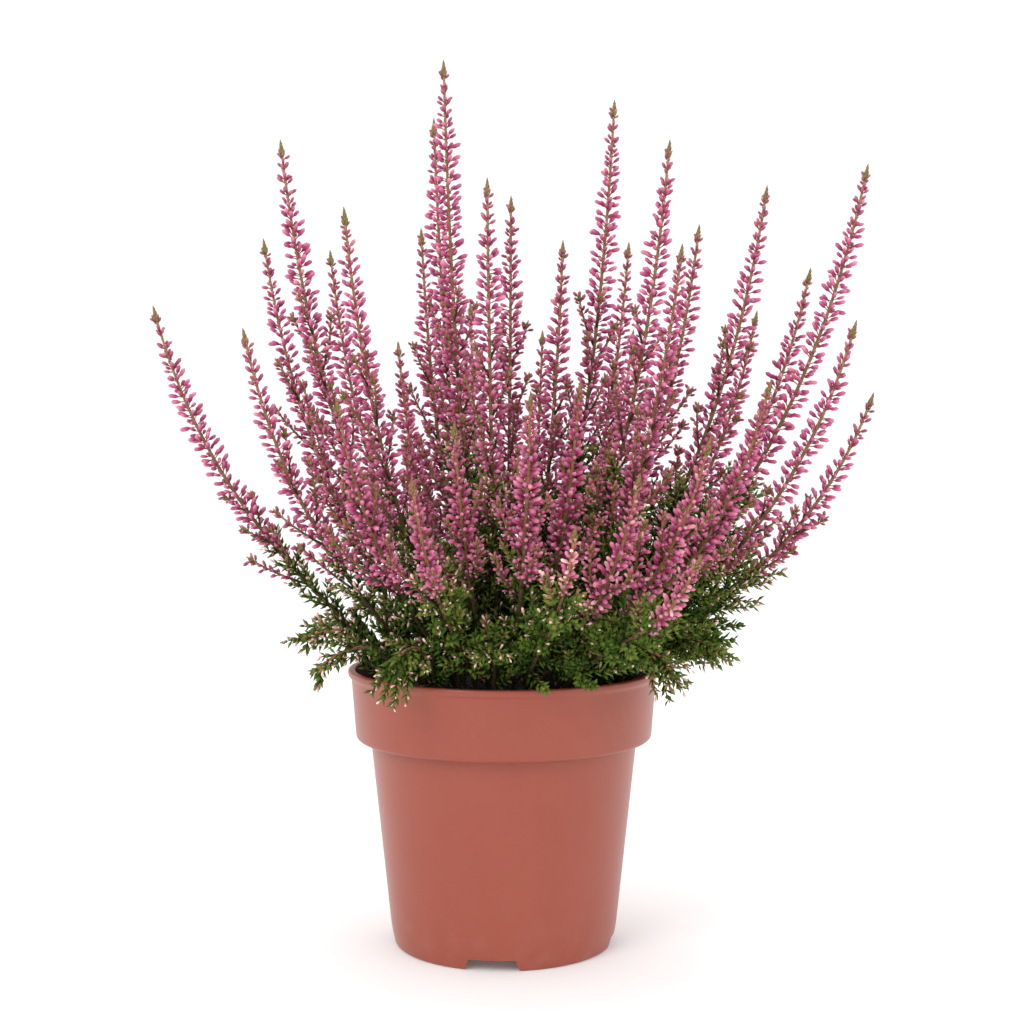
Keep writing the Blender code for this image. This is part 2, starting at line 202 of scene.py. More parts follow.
# Flowering side sprays, between two heights on the stem. Stems that lean far out have them lower
# down and shorter.
SPRAY_HEIGHTS = (0.138, 0.245)
SPRAY_LOW_TOP = 0.170
SPRAY_LOW_REACH = 0.118
SPRAY_FAR_SHARE = 0.72
SPRAY_HIGHEST_SHARE = 0.66
SPRAY_GAP = 0.0073
SPRAY_LENGTH = (0.0350, 0.0190)
SPRAY_LENGTH_SPREAD = (0.75, 1.15)
SPRAY_TURN_SPREAD = 0.5
SPRAY_OUT = 0.62
SPRAY_END_OUT = 0.25
SPRAY_BARE = 0.20
SPRAY_RADIUS = (0.00055, 0.00030)
SPRAY_SIDES = 4
SPRAY_RINGS = 6
SPRAY_BUD_SIDES = 4
SPRAY_YOUNGEST = 0.25
SPRAY_BLOOM_SHORT = 0.0022
SPRAY_TIP_LENGTH = 0.0042
SPRAY_TIP_SCALES = 8
SPRAY_TIP_TINTS = (0.75, 1.0)

# Leafy side twigs: TWIG_SIDES, TWIG_GAP and TWIG_PINKS are for a stem at the left and at the right
TWIG_GAP = (0.0022, 0.0015)
TWIG_SIDES = (0.60, 1.20)
TWIG_PINKS = (1.10, 0.34)
TWIG_WIDE = 0.160
TWIG_START = 0.0120
TWIG_OVERLAP = 0.0060
TWIG_LENGTH = (0.0185, 0.0095)
TWIG_LENGTH_SPREAD = (0.7, 1.2)
TWIG_TURN_SPREAD = 0.3
TWIG_TILTS = (24, 50)
TWIG_TINTS = (0.0, 0.60)
TWIG_TINT_RISE = 0.30
TWIG_MIDDLE = 0.55
TWIG_END = 0.90
TWIG_END_LIFT = 0.28
TWIG_RADIUS = (0.00038, 0.00022)
TWIG_RINGS = 5
TWIG_TUBE_SIDES = 3
TWIG_YOUTH = 0.50
SAG_LENGTH = (0.0150, 0.0092)
SAG_TOP = 0.1195
TWIG_SAG = 0.55
SPILLS = {"shoot_03": (0.0150, 0.0155), "shoot_05": (0.0150, 0.0150)}
SPILL_SAG = 1.30
SHOOT_MARGIN = 0.0040

# Hollows in the foliage at the front and back, where no twigs grow: the pattern's turn for each
# metre, the value above which it leaves a hollow, how far from the axis and how far to a side that
# happens, and how far along itself a twig is tested
HOLLOW_TURN = 190.0
HOLLOW_LIMIT = 0.78
HOLLOW_RADIUS = 0.044
HOLLOW_WIDE = 0.054
HOLLOW_PROBE = 0.6

# Small buds at the end of a twig
PINK_COUNTS = (2, 7)
PINK_CHANCE = 0.3
PINK_SPOTS = (0.40, 1.0)
PINK_OUT = 0.8
PINK_AHEAD = (0.3, 1.6)
PINK_LENGTHS = (0.0020, 0.0034)
PINK_RIPENESS = (0.3, 0.8)
PINK_TINTS = (0.85, 1.0)

# Leaves in crossed pairs on a twig
LEAF_START = 0.0010
LEAF_GAP = 0.00186
LEAF_LENGTH = 0.0050
LEAF_SHRINK = 0.30
LEAF_LENGTH_SPREAD = (0.80, 1.15)
LEAF_TURN_SPREAD = 0.3
LEAF_TILTS = (40, 62)
LEAF_TINT_SPREAD = 0.12
LEAF_TINT_RISE = 0.16
LEAF_SLIMNESS = 0.49
LEAF_THICKNESS = 0.55
LEAF_WIDTH_SPREAD = (0.85, 1.15)

# Small leaves pressed to a stem: lengths, then tints, on each kind of stretch
SCALE_GAP = 0.0012
SCALE_TURN = 0.7
SCALE_OUT = 0.55
SCALE_SLIMNESS = 0.44
GREEN_START = 0.0080
GREEN_SCALES = ((0.0022, 0.0036), (0.05, 0.45))
BLOOM_SCALES = ((0.0014, 0.0024), (0.62, 1.0))
SHOOT_SCALES = ((0.0024, 0.0038), (0.05, 0.60))

# Pointed green end of a stem
TIP_SCALES = 26
TIP_LENGTH = 0.0078
TIP_LEAF = (0.0036, 0.0026)
TIP_TILT = (62, 88)
TIP_TINT_RISE = 0.25
SPIRE_TIP_TINTS = (0.80, 1.0)
SHOOT_TIP_TINTS = (0.50, 0.80)

# A ripe bud hangs on a thin stalk; a young one is short and sits close to the stem. Each is rings of
# height and radius, for a bud of unit length.
RIPE_PROFILE = [(0.0, 0.024), (0.35, 0.034), (0.52, 0.120), (0.86, 0.126), (1.0, 0.0)]
YOUNG_PROFILE = [(0.0, 0.050), (0.26, 0.065), (0.46, 0.165), (0.78, 0.170), (1.0, 0.0)]
SPRAY_RIPE_PROFILE = [(0.0, 0.026), (0.35, 0.036), (0.52, 0.126), (0.86, 0.134), (1.0, 0.0)]
SPRAY_YOUNG_PROFILE = [(0.0, 0.050), (0.26, 0.065), (0.46, 0.170), (0.78, 0.175), (1.0, 0.0)]

# A leaf of unit length: three-sided, pointed at both ends and widest in the middle
LEAF_FORM = np.array([
    (0.0, 0.0, 0.0),
    (0.5, 0.0, 0.47),
    (-0.25, 0.43, 0.47),
    (-0.25, -0.43, 0.47),
    (0.0, 0.0, 1.0),
])
LEAF_FACES = [(0, 2, 1), (0, 3, 2), (0, 1, 3), (1, 2, 4), (2, 3, 4), (3, 1, 4)]

# The turn from one bud or leaf to the next, and the places of the plant's materials on its pieces
GOLDEN = math.radians(137.5)
BARK, BUD, LEAF = 0, 1, 2

# Colours, in linear light. A list gives places along a form, or tints, and the colour there.
# Bark from the foot of a stem to its end: the dark first stops are partly old bark and partly painted
# shade low in the plant
BARK_TONES = [
    (0.0, (0.022, 0.014, 0.007)), (0.33, (0.050, 0.034, 0.015)),
    (0.56, (0.235, 0.135, 0.066)), (1.0, (0.45, 0.205, 0.120)),
]
BARK_GRAIN = (0.16, 0.10, 0.045)
BUD_TONES = [
    (0.0, (0.20, 0.12, 0.05)), (0.30, (0.30, 0.105, 0.080)), (0.40, (0.29, 0.038, 0.090)),
    (0.62, (0.485, 0.082, 0.182)), (0.86, (0.63, 0.198, 0.325)), (1.0, (0.69, 0.27, 0.38)),
]
BUD_YOUNG = (0.26, 0.095, 0.075)
BUD_PALE = (0.88, 0.62, 0.55)
BUD_VEINS = (0.49, 0.062, 0.186)
BUD_HUES = (0.488, 0.508)
BUD_VALUES = (0.66, 1.28)
LEAF_TONES = [
    (0.0, (0.008, 0.024, 0.003)), (0.40, (0.043, 0.104, 0.008)),
    (0.75, (0.145, 0.212, 0.032)), (1.0, (0.31, 0.195, 0.085)),
]
LEAF_TIP = (0.20, 0.25, 0.036)
# Painted shade: the near-black that leaves darken towards in the middle of the plant, low down
LEAF_PAINTED_SHADE = (0.010, 0.013, 0.004)
LEAF_VALUES = (0.75, 1.25)
# Painted shade on the leaves: the reach from the axis and the heights over which it fades out, and its
# greatest share
PAINTED_SHADE_REACH = (0.034, 0.066)
PAINTED_SHADE_HEIGHTS = (0.128, 0.182)
PAINTED_SHADE_MOST = 0.93
PLASTIC = (0.305, 0.062, 0.035)
PLASTIC_CLOUD = (0.330, 0.074, 0.043)
PLASTIC_FLOW = (0.270, 0.056, 0.031)
PLASTIC_SPECK = (0.35, 0.090, 0.060)
DUST = (0.36, 0.17, 0.13)
DUST_SHARES = (0.24, 0.03)
DUST_TOP_Z = 0.022
SOIL_TONES = [(0.30, (0.003, 0.002, 0.001)), (0.60, (0.012, 0.008, 0.005)), (0.85, (0.050, 0.032, 0.020))]
SOIL_FLECK = (0.16, 0.10, 0.06)
PAPER_TONES = ((0.93, 0.93, 0.93), (0.95, 0.95, 0.95))
WHITE = (1.0, 1.0, 1.0, 1.0)

# Numbers of a Mix node's colour sockets
MIX_ONE = 6
MIX_OTHER = 7
MIX_RESULT = 2

# Studio: floor, lights with their place, size and power, and the camera fitted to the photograph
FLOOR_REACH = 9.0
FLOOR_GLOW = 0.07
SKY_STRENGTH = 1.07
LIGHT_AIM = (0.0, 0.0, 0.16)
LIGHTS = {
    "key": ((-0.75, -1.10, 1.05), 0.7, 6.9),
    "fill": ((1.10, -0.80, 0.55), 0.9, 2.5),
    "top": ((0.05, 0.45, 1.30), 0.8, 2.5),
}
CAMERA_PLACE = (0.0, -0.7056, 0.2082)
CAMERA_DIP = 0.0585
CAMERA_TURN = -0.0045
SENSOR = 36.0
FOCAL_PIXELS = 1835.8
PHOTO_PIXELS = 1024


def unit(rows):
    """The same directions, each with a length of one."""
    return rows / np.maximum(np.linalg.norm(rows, axis=-1, keepdims=True), TINY)


def mix(ends, share):
    """A value on the way from the first end to the second."""
    return ends[0] + (ends[1] - ends[0]) * np.clip(share, 0.0, 1.0)


def jitter(most, count):
    """Random shifts of up to a size, to either side."""
    return rng.uniform(-most, most, count)


def heading(degrees):
    """The level direction at a bearing."""
    turn = math.radians(degrees)
    return Vector((math.cos(turn), math.sin(turn), 0.0))


def put(name, data):
    """A new object in the scene."""
    made = bpy.data.objects.new(name, data)
    bpy.context.scene.collection.objects.link(made)
    return made


class Path:
    """A smooth curve through space, with a frame that doesn't twist, read by the distance along it."""

    SAMPLES = 160
    FIRST_SIDE = (0.31, 0.95, 0.0)

    def __init__(self, corners):
        shares = np.linspace(0.0, 1.0, self.SAMPLES + 1)[:, None]
        degree = len(corners) - 1
        self.points = sum(
            math.comb(degree, i) * shares**i * (1 - shares) ** (degree - i) * np.array(corner)
            for i, corner in enumerate(corners)
        )
        lengths = np.linalg.norm(np.diff(self.points, axis=0), axis=1)
        self.marks = np.concatenate([[0.0], np.cumsum(lengths)])
        self.length = self.marks[-1]
        self.headings = unit(np.gradient(self.points, axis=0))
        sides = [np.cross(self.headings[0], self.FIRST_SIDE)]
        for ahead in self.headings[1:]:
            last = sides[-1]
            sides.append(unit(last - ahead * last.dot(ahead)))
        self.sides = unit(np.array(sides))

    def rise(self, height):
        """The distance along the curve at which it reaches a height."""
        return float(np.interp(height, self.points[:, 2], self.marks))

    def read(self, distances):
        """Centres, headings and sides at an array of distances."""
        rows = [
            np.stack([np.interp(distances, self.marks, table[:, k]) for k in range(3)], axis=1)
            for table in (self.points, self.headings, self.sides)
        ]
        return rows[0], unit(rows[1]), unit(rows[2])


class Pile:
    """Many small forms gathered into one mesh."""

    def __init__(self):
        self.places = []
        self.faces = []
        self.paints = []
        self.marks = []
        self.count = 0

    def add(self, places, faces, paint, share, tint, ripe):
        """Places is (forms, corners, 3), and faces lists one form's corners. Share, how far along
        its form a corner is, is for one form. Tint and ripe have a value for each form."""
        forms, corners = places.shape[:2]
        self.places.append(places.reshape(-1, 3))
        share = np.broadcast_to(share, (forms, corners))
        tint = np.broadcast_to(np.reshape(tint, (-1, 1)), (forms, corners))
        ripe = np.broadcast_to(np.reshape(ripe, (-1, 1)), (forms, corners))
        self.marks.append(np.stack([share, tint, ripe], axis=2).reshape(-1, 3))
        for i in range(forms):
            start = self.count + i * corners
            self.faces += [tuple(start + corner for corner in face) for face in faces]
        self.paints += [paint] * (forms * len(faces))
        self.count += forms * corners

    def finish(self, name, materials):
        """The pile as an object, with its three marks kept as attributes of the mesh."""
        mesh = bpy.data.meshes.new(name)
        mesh.from_pydata(np.concatenate(self.places).tolist(), [], self.faces)
        mesh.polygons.foreach_set("material_index", self.paints)
        mesh.polygons.foreach_set("use_smooth", [True] * len(self.faces))
        marks = np.concatenate(self.marks).astype(np.float32)
        for column, title in enumerate(("share", "tint", "ripe")):
            layer = mesh.attributes.new(title, "FLOAT", "POINT")
            layer.data.foreach_set("value", np.ascontiguousarray(marks[:, column]))
        for material in materials:
            mesh.materials.append(material)
        mesh.update()
        return put(name, mesh)


def ring_faces(rings, sides):
    """Faces over stacked rings of corners, closed by the one corner that comes after them."""
    faces = []
    for ring in range(rings - 1):
        for k in range(sides):
            a = ring * sides + k
            b = ring * sides + (k + 1) % sides
            faces.append((a, b, b + sides, a + sides))
    last = (rings - 1) * sides
    point = rings * sides
    return faces + [(last + k, last + (k + 1) % sides, point) for k in range(sides)]


def ring_form(profile, sides):
    """Corners of a round form along +Z from rings of height and radius, closed by a point."""
    corners = []
    for height, radius in profile[:-1]:
        for k in range(sides):
            angle = math.tau * k / sides
            corners.append((radius * math.cos(angle), radius * math.sin(angle), height))
    corners.append((0.0, 0.0, profile[-1][0]))
    return np.array(corners)


RIPE_BUD = ring_form(RIPE_PROFILE, BUD_SIDES)
YOUNG_BUD = ring_form(YOUNG_PROFILE, BUD_SIDES)
BUD_FACES = ring_faces(len(RIPE_PROFILE) - 1, BUD_SIDES)
SPRAY_RIPE_BUD = ring_form(SPRAY_RIPE_PROFILE, SPRAY_BUD_SIDES)
SPRAY_YOUNG_BUD = ring_form(SPRAY_YOUNG_PROFILE, SPRAY_BUD_SIDES)
SPRAY_BUD_FACES = ring_faces(len(SPRAY_RIPE_PROFILE) - 1, SPRAY_BUD_SIDES)


def axes(aims, ups):
    """Frames whose third axis is the aim and whose second lies towards up."""
    across = unit(np.cross(ups, aims))
    return np.stack([across, np.cross(aims, across), aims], axis=1)


def lay(form, bases, aims, ups, sizes, widths=None, thickness=1.0):
    """Copies of a form, or of one form each, at bases, along aims."""
    scaled = form * sizes[:, None, None]
    if widths is not None:
        scales = np.stack([widths, widths * thickness, sizes], axis=1)[:, None, :]
        scaled = np.broadcast_to(form, (len(sizes), *form.shape[-2:])) * scales
    return scaled @ axes(aims, ups) + bases[:, None, :]


def add_tube(pile, path, starts, radii, sides, tint, youth=1.0):
    """A stem along a path through the given distances, closed by a point. Youth is how far its end
    is from old bark to young."""
    centres, headings, side = path.read(starts)
    across = np.cross(headings, side)
    angles = (np.arange(sides) * math.tau / sides)[None, :, None]
    spokes = side[:, None, :] * np.cos(angles) + across[:, None, :] * np.sin(angles)
    rings = centres[:, None, :] + spokes * np.asarray(radii)[:, None, None]
    corners = np.concatenate([rings.reshape(-1, 3), centres[-1:] + headings[-1:] * radii[-1]])
    share = np.append(np.repeat(starts / path.length, sides), 1.0)
    pile.add(corners[None], ring_faces(len(starts), sides), BARK, youth * share[None], [tint], [1.0])


def outward(headings, side, angles):
    """Directions square to the headings, turned round them by angles."""
    across = np.cross(headings, side)
    return side * np.cos(angles)[:, None] + across * np.sin(angles)[:, None]


def add_leaves(pile, bases, aims, ups, lengths, tint, slimness=SCALE_SLIMNESS):
    """Thin leaves at bases, along aims."""
    widths = slimness * lengths * rng.uniform(*LEAF_WIDTH_SPREAD, len(lengths))
    places = lay(LEAF_FORM, bases, aims, ups, lengths, widths, LEAF_THICKNESS)
    pile.add(places, LEAF_FACES, LEAF, LEAF_FORM[:, 2], tint, np.ones(len(lengths)))


def add_buds(pile, bases, aims, ups, lengths, ripe, tint, plain=False):
    """Buds between the young and the ripe form; plain ones have fewer sides."""
    young, old, faces = YOUNG_BUD, RIPE_BUD, BUD_FACES
    if plain:
        young, old, faces = SPRAY_YOUNG_BUD, SPRAY_RIPE_BUD, SPRAY_BUD_FACES
    blend = ripe[:, None, None]
    form = young * (1 - blend) + old * blend
    pile.add(lay(form, bases, aims, ups, lengths), faces, BUD, old[:, 2], tint, ripe)


def add_pinks(pile, path, count):
    """A few small pale buds towards the end of a twig."""
    centres, headings, side = path.read(path.length * np.linspace(*PINK_SPOTS, count))
    out = outward(headings, side, np.arange(count) * GOLDEN)
    aims = unit(out * PINK_OUT + headings * np.linspace(*PINK_AHEAD, count)[:, None])
    lengths = rng.uniform(*PINK_LENGTHS, count)
    ripe = rng.uniform(*PINK_RIPENESS, count)
    add_buds(pile, centres, aims, headings, lengths, ripe, rng.uniform(*PINK_TINTS, count), True)


def add_twig(pile, base, aim, lift, length, pink, tint):
    """A short side twig with small leaves in crossed pairs, and sometimes buds at its end."""
    middle = base + aim * length * TWIG_MIDDLE
    path = Path([base, middle, base + aim * length * TWIG_END + lift * length * TWIG_END_LIFT])
    stops = np.linspace(0.0, path.length, TWIG_RINGS)
    add_tube(pile, path, stops, mix(TWIG_RADIUS, stops / path.length), TWIG_TUBE_SIDES, tint, TWIG_YOUTH)
    spots = np.arange(LEAF_START, path.length, LEAF_GAP)
    centres, headings, side = path.read(np.repeat(spots, 2))
    turns = np.repeat(np.arange(len(spots)) * math.tau / 4, 2) + np.tile([0.0, math.pi], len(spots))
    out = outward(headings, side, turns + jitter(LEAF_TURN_SPREAD, len(turns)))
    tilt = np.radians(rng.uniform(*LEAF_TILTS, len(turns)))[:, None]
    aims = out * np.cos(tilt) + headings * np.sin(tilt)
    share = np.repeat(spots / path.length, 2)
    lengths = LEAF_LENGTH * (1 - LEAF_SHRINK * share) * rng.uniform(*LEAF_LENGTH_SPREAD, len(turns))
    tints = tint + jitter(LEAF_TINT_SPREAD, len(turns)) + LEAF_TINT_RISE * share
    add_leaves(pile, centres, aims, headings, lengths, tints, LEAF_SLIMNESS)
    if pink:
        add_pinks(pile, path, pink)


def clothe(pile, path, start, stop, scales):
    """Small leaves that lie along a stem."""
    sizes, tints = scales
    spots = np.arange(start, stop, SCALE_GAP)
    count = len(spots)
    centres, headings, side = path.read(spots)
    out = outward(headings, side, np.arange(count) * GOLDEN + SCALE_TURN)
    aims = unit(out * SCALE_OUT + headings)
    add_leaves(pile, centres, aims, out, rng.uniform(*sizes, count), rng.uniform(*tints, count))


def in_hollow(place):
    """Whether the foliage leaves a hollow here: pockets some three centimetres apart, front and back."""
    x, y, z = place * HOLLOW_TURN
    pattern = math.sin(x) * math.cos(y) + math.sin(y) * math.cos(z) + math.sin(z) * math.cos(x)
    outer = math.hypot(place[0], place[1]) > HOLLOW_RADIUS and abs(place[0]) < HOLLOW_WIDE
    return outer and pattern > HOLLOW_LIMIT


def add_twigs(pile, path, start, stop, tip, spill=None):
    """Leafy side twigs along a stem. The plant is fuller, and has fewer small buds, at its right.
    A spill is the lengths of the twigs on a shoot that hangs over the rim."""
    right = 0.5 + tip[0] / TWIG_WIDE
    sag = SPILL_SAG if spill else TWIG_SAG if tip[2] < SAG_TOP else 0.0
    lengths = spill or np.array(SAG_LENGTH if sag else TWIG_LENGTH) * mix(TWIG_SIDES, right)
    pinkness = mix(TWIG_PINKS, right)
    spots = np.arange(start, stop, mix(TWIG_GAP, right))
    if not len(spots):
        return
    centres, headings, side = path.read(spots)
    out = outward(headings, side, np.arange(len(spots)) * GOLDEN + jitter(TWIG_TURN_SPREAD, len(spots)))
    for i, spot in enumerate(spots):
        share = (spot - start) / (stop - start)
        tilt = math.radians(rng.uniform(*TWIG_TILTS))
        aim = out[i] * math.cos(tilt) + headings[i] * math.sin(tilt)
        aim = unit(aim - np.array((0.0, 0.0, sag * share)))
        length = mix(lengths, share) * rng.uniform(*TWIG_LENGTH_SPREAD)
        pink = 0
        if rng.random() < pinkness * (PINK_CHANCE + share):
            pink = int(rng.integers(*PINK_COUNTS))
        if not spill and in_hollow(centres[i] + aim * length * HOLLOW_PROBE):
            continue
        tint = rng.uniform(*TWIG_TINTS) + TWIG_TINT_RISE * share
        add_twig(pile, centres[i], aim, headings[i], length, pink, tint)


def add_bloom(pile, path, start, stop, pale, youngest=0.0, plain=False, crowding=1.0):
    """Buds all round a stem, from stop, near its tip, down to start: young above and ripe below."""
    below = [path.length - stop]
    while below[-1] < path.length - start:
        gap = TIER_CLOSE if len(below) % TIER_BUDS else TIER_GAP
        gap *= mix(BUD_GAP, below[-1] / BUD_RIPE) * crowding * rng.uniform(*TIER_SPREAD)
        below.append(below[-1] + gap)
    below = np.array(below)
    count = len(below)
    centres, headings, side = path.read(path.length - below)
    ripe = np.clip((below - below[0]) / BUD_RIPE, 0.0, 1.0) ** RIPE_CURVE
    ripe = youngest + (1 - youngest) * ripe
    out = outward(headings, side, np.arange(count) * GOLDEN + jitter(BUD_TURN_SPREAD, count))
    lift = mix(BUD_LIFT, ripe) + np.radians(rng.normal(0, BUD_LIFT_SPREAD, count))
    aims = out * np.cos(lift)[:, None] + headings * np.sin(lift)[:, None]
    lengths = mix(BUD_LENGTH, ripe) * rng.uniform(*BUD_LENGTH_SPREAD, count)
    above = path.length - below - start
    lengths *= np.clip(LOWEST_BUD_SIZE + above / LOWEST_BUDS_REACH, LOWEST_BUD_SIZE, 1.0)
    tints = rng.normal(BUD_TINT + pale, BUD_TINT_SPREAD, count)
    tints = np.clip(tints, 0.0, min(BUD_TINT_MOST + 2 * pale, 1.0))
    add_buds(pile, centres, aims, headings, lengths, ripe, tints, plain)
    clothe(pile, path, start, stop, BLOOM_SCALES)


def add_sprays(pile, path, pale):
    """Short flowering side shoots on the middle of a stem, which rise close to it."""
    start = path.rise(SPRAY_HEIGHTS[0])
    far = math.hypot(*path.points[-1][:2]) > SPRAY_LOW_REACH
    stop = min(path.rise(SPRAY_LOW_TOP if far else SPRAY_HEIGHTS[1]), path.length * SPRAY_HIGHEST_SHARE)
    spots = np.arange(start, stop, SPRAY_GAP)
    if not len(spots):
        return
    centres, headings, side = path.read(spots)
    out = outward(headings, side, np.arange(len(spots)) * GOLDEN + jitter(SPRAY_TURN_SPREAD, len(spots)))
    for i in range(len(spots)):
        length = mix(SPRAY_LENGTH, i / max(len(spots) - 1, 1)) * rng.uniform(*SPRAY_LENGTH_SPREAD)
        length *= SPRAY_FAR_SHARE if far else 1.0
        aim = unit(out[i] * SPRAY_OUT + headings[i])
        end_aim = unit(out[i] * SPRAY_END_OUT + headings[i])
        middle = centres[i] + aim * (length / 2)
        branch = Path([centres[i], middle, middle + end_aim * (length / 2)])
        stops = np.linspace(0.0, branch.length, SPRAY_RINGS)
        radii = mix(SPRAY_RADIUS, stops / branch.length)
        add_tube(pile, branch, stops, radii, SPRAY_SIDES, rng.uniform(*BARK_TINTS))
        top = branch.length - SPRAY_BLOOM_SHORT
        add_bloom(pile, branch, branch.length * SPRAY_BARE, top, pale, SPRAY_YOUNGEST, True)
        add_scaly_tip(pile, branch, SPRAY_TIP_LENGTH, rng.uniform(*SPRAY_TIP_TINTS), SPRAY_TIP_SCALES)


def add_scaly_tip(pile, path, length, tint, scales=TIP_SCALES):
    """The pointed green end of a stem: small leaves pressed together, lighter towards the point."""
    shares = np.linspace(0.0, 1.0, scales)
    leaf = mix(TIP_LEAF, shares)
    centres, headings, side = path.read(path.length - leaf - (length - leaf) * (1 - shares))
    out = outward(headings, side, np.arange(scales) * GOLDEN)
    tilt = np.radians(mix(TIP_TILT, shares))[:, None]
    aims = out * np.cos(tilt) + headings * np.sin(tilt)
    add_leaves(pile, centres, aims, out, leaf, tint + TIP_TINT_RISE * shares)


def start_stem(path, root):
    """A pile with the woody stem in it, from below the soil to a little under the tip."""
    pile = Pile()
    buried = Path([root - np.array((0.0, 0.0, STEM_SINK)), root])
    thick = np.array([STEM_RADIUS[0]] * 2)
    add_tube(pile, buried, np.array([0.0, buried.length]), thick, STEM_SIDES, BURIED_TINT)
    rings = max(int(path.length / STEM_STEP), STEM_RINGS_LEAST)
    stops = np.linspace(0.0, path.length - STEM_SHORT, rings)
    radii = mix(STEM_RADIUS, stops / path.length)
    add_tube(pile, path, stops, radii, STEM_SIDES, rng.uniform(*BARK_TINTS))
    return pile


def spire_path(root, tip):
    """A stem that rises steeply from the soil, then leans out and rises again towards its tip."""
    reach = tip - root
    neck = np.array((reach[0] * NECK_OUT, reach[1] * NECK_OUT, max(reach[2] * NECK_UP, NECK_UP_LEAST)))
    elbow = np.array((reach[0] * ELBOW_OUT, reach[1] * ELBOW_OUT, max(reach[2] * ELBOW_UP, neck[2])))
    return Path([root, root + neck, root + elbow, tip])


def grow_spire(node, root, tip, materials):
    """A flower spire: leafy twigs below, then buds and side sprays, and a green tip."""
    path = spire_path(root, tip)
    pile = start_stem(path, root)
    lowest = LOW_BLOOMS.get(node, mix(BLOOM_FLOOR, abs(tip[0]) / BLOOM_FLOOR_WIDE))
    start = max(path.length * (1 - BLOOM_SHARE), path.rise(lowest))
    add_twigs(pile, path, TWIG_START, start + TWIG_OVERLAP, tip)
    clothe(pile, path, GREEN_START, start, GREEN_SCALES)
    pale = PALE_SPIRES.get(node, 0.0)
    crowding = FRONT_CROWDING if tip[1] < FRONT_Y else 1.0
    add_bloom(pile, path, start, path.length - TIP_LENGTH + BLOOM_OVERLAP, pale, crowding=crowding)
    add_sprays(pile, path, pale)
    add_scaly_tip(pile, path, TIP_LENGTH, rng.uniform(*SPIRE_TIP_TINTS))
    return pile.finish(f"{node}_growth", materials)


def shoot_path(root, tip):
    """A stem that rises, arches and hangs towards the rim."""
    crest = root + (tip - root) * SHOOT_CREST_OUT
    crest[2] = max(tip[2] + SHOOT_CREST_RISE, SHOOT_CREST_Z)
    return Path([root, crest, tip])


def grow_shoot(node, root, tip, materials):
    """A leafy shoot, with twigs all along it."""
    path = shoot_path(root, tip)
    pile = start_stem(path, root)
    stop = path.length - SHOOT_MARGIN
    add_twigs(pile, path, SHOOT_MARGIN, stop, tip, SPILLS.get(node))
    clothe(pile, path, SHOOT_MARGIN, stop, SHOOT_SCALES)
    add_scaly_tip(pile, path, TIP_LENGTH, rng.uniform(*SHOOT_TIP_TINTS))
    return pile.finish(f"{node}_growth", materials)


def spread_roots(roots):
    """The CAD's places in the soil: stems moved apart that would stand too near each other."""
    for _ in range(SPREAD_ROUNDS):
        for one, other in combinations(roots, 2):
            gap = other - one
            short = ROOT_SPACING - gap.length
            if short > 0:
                push = gap.normalized() * (short / 2)
                one -= push
                other += push
        for root in roots:
            if root.length > ROOT_REACH:
                root *= ROOT_REACH / root.length
    return [np.array((root.x, root.y, STEM_START_Z)) for root in roots]


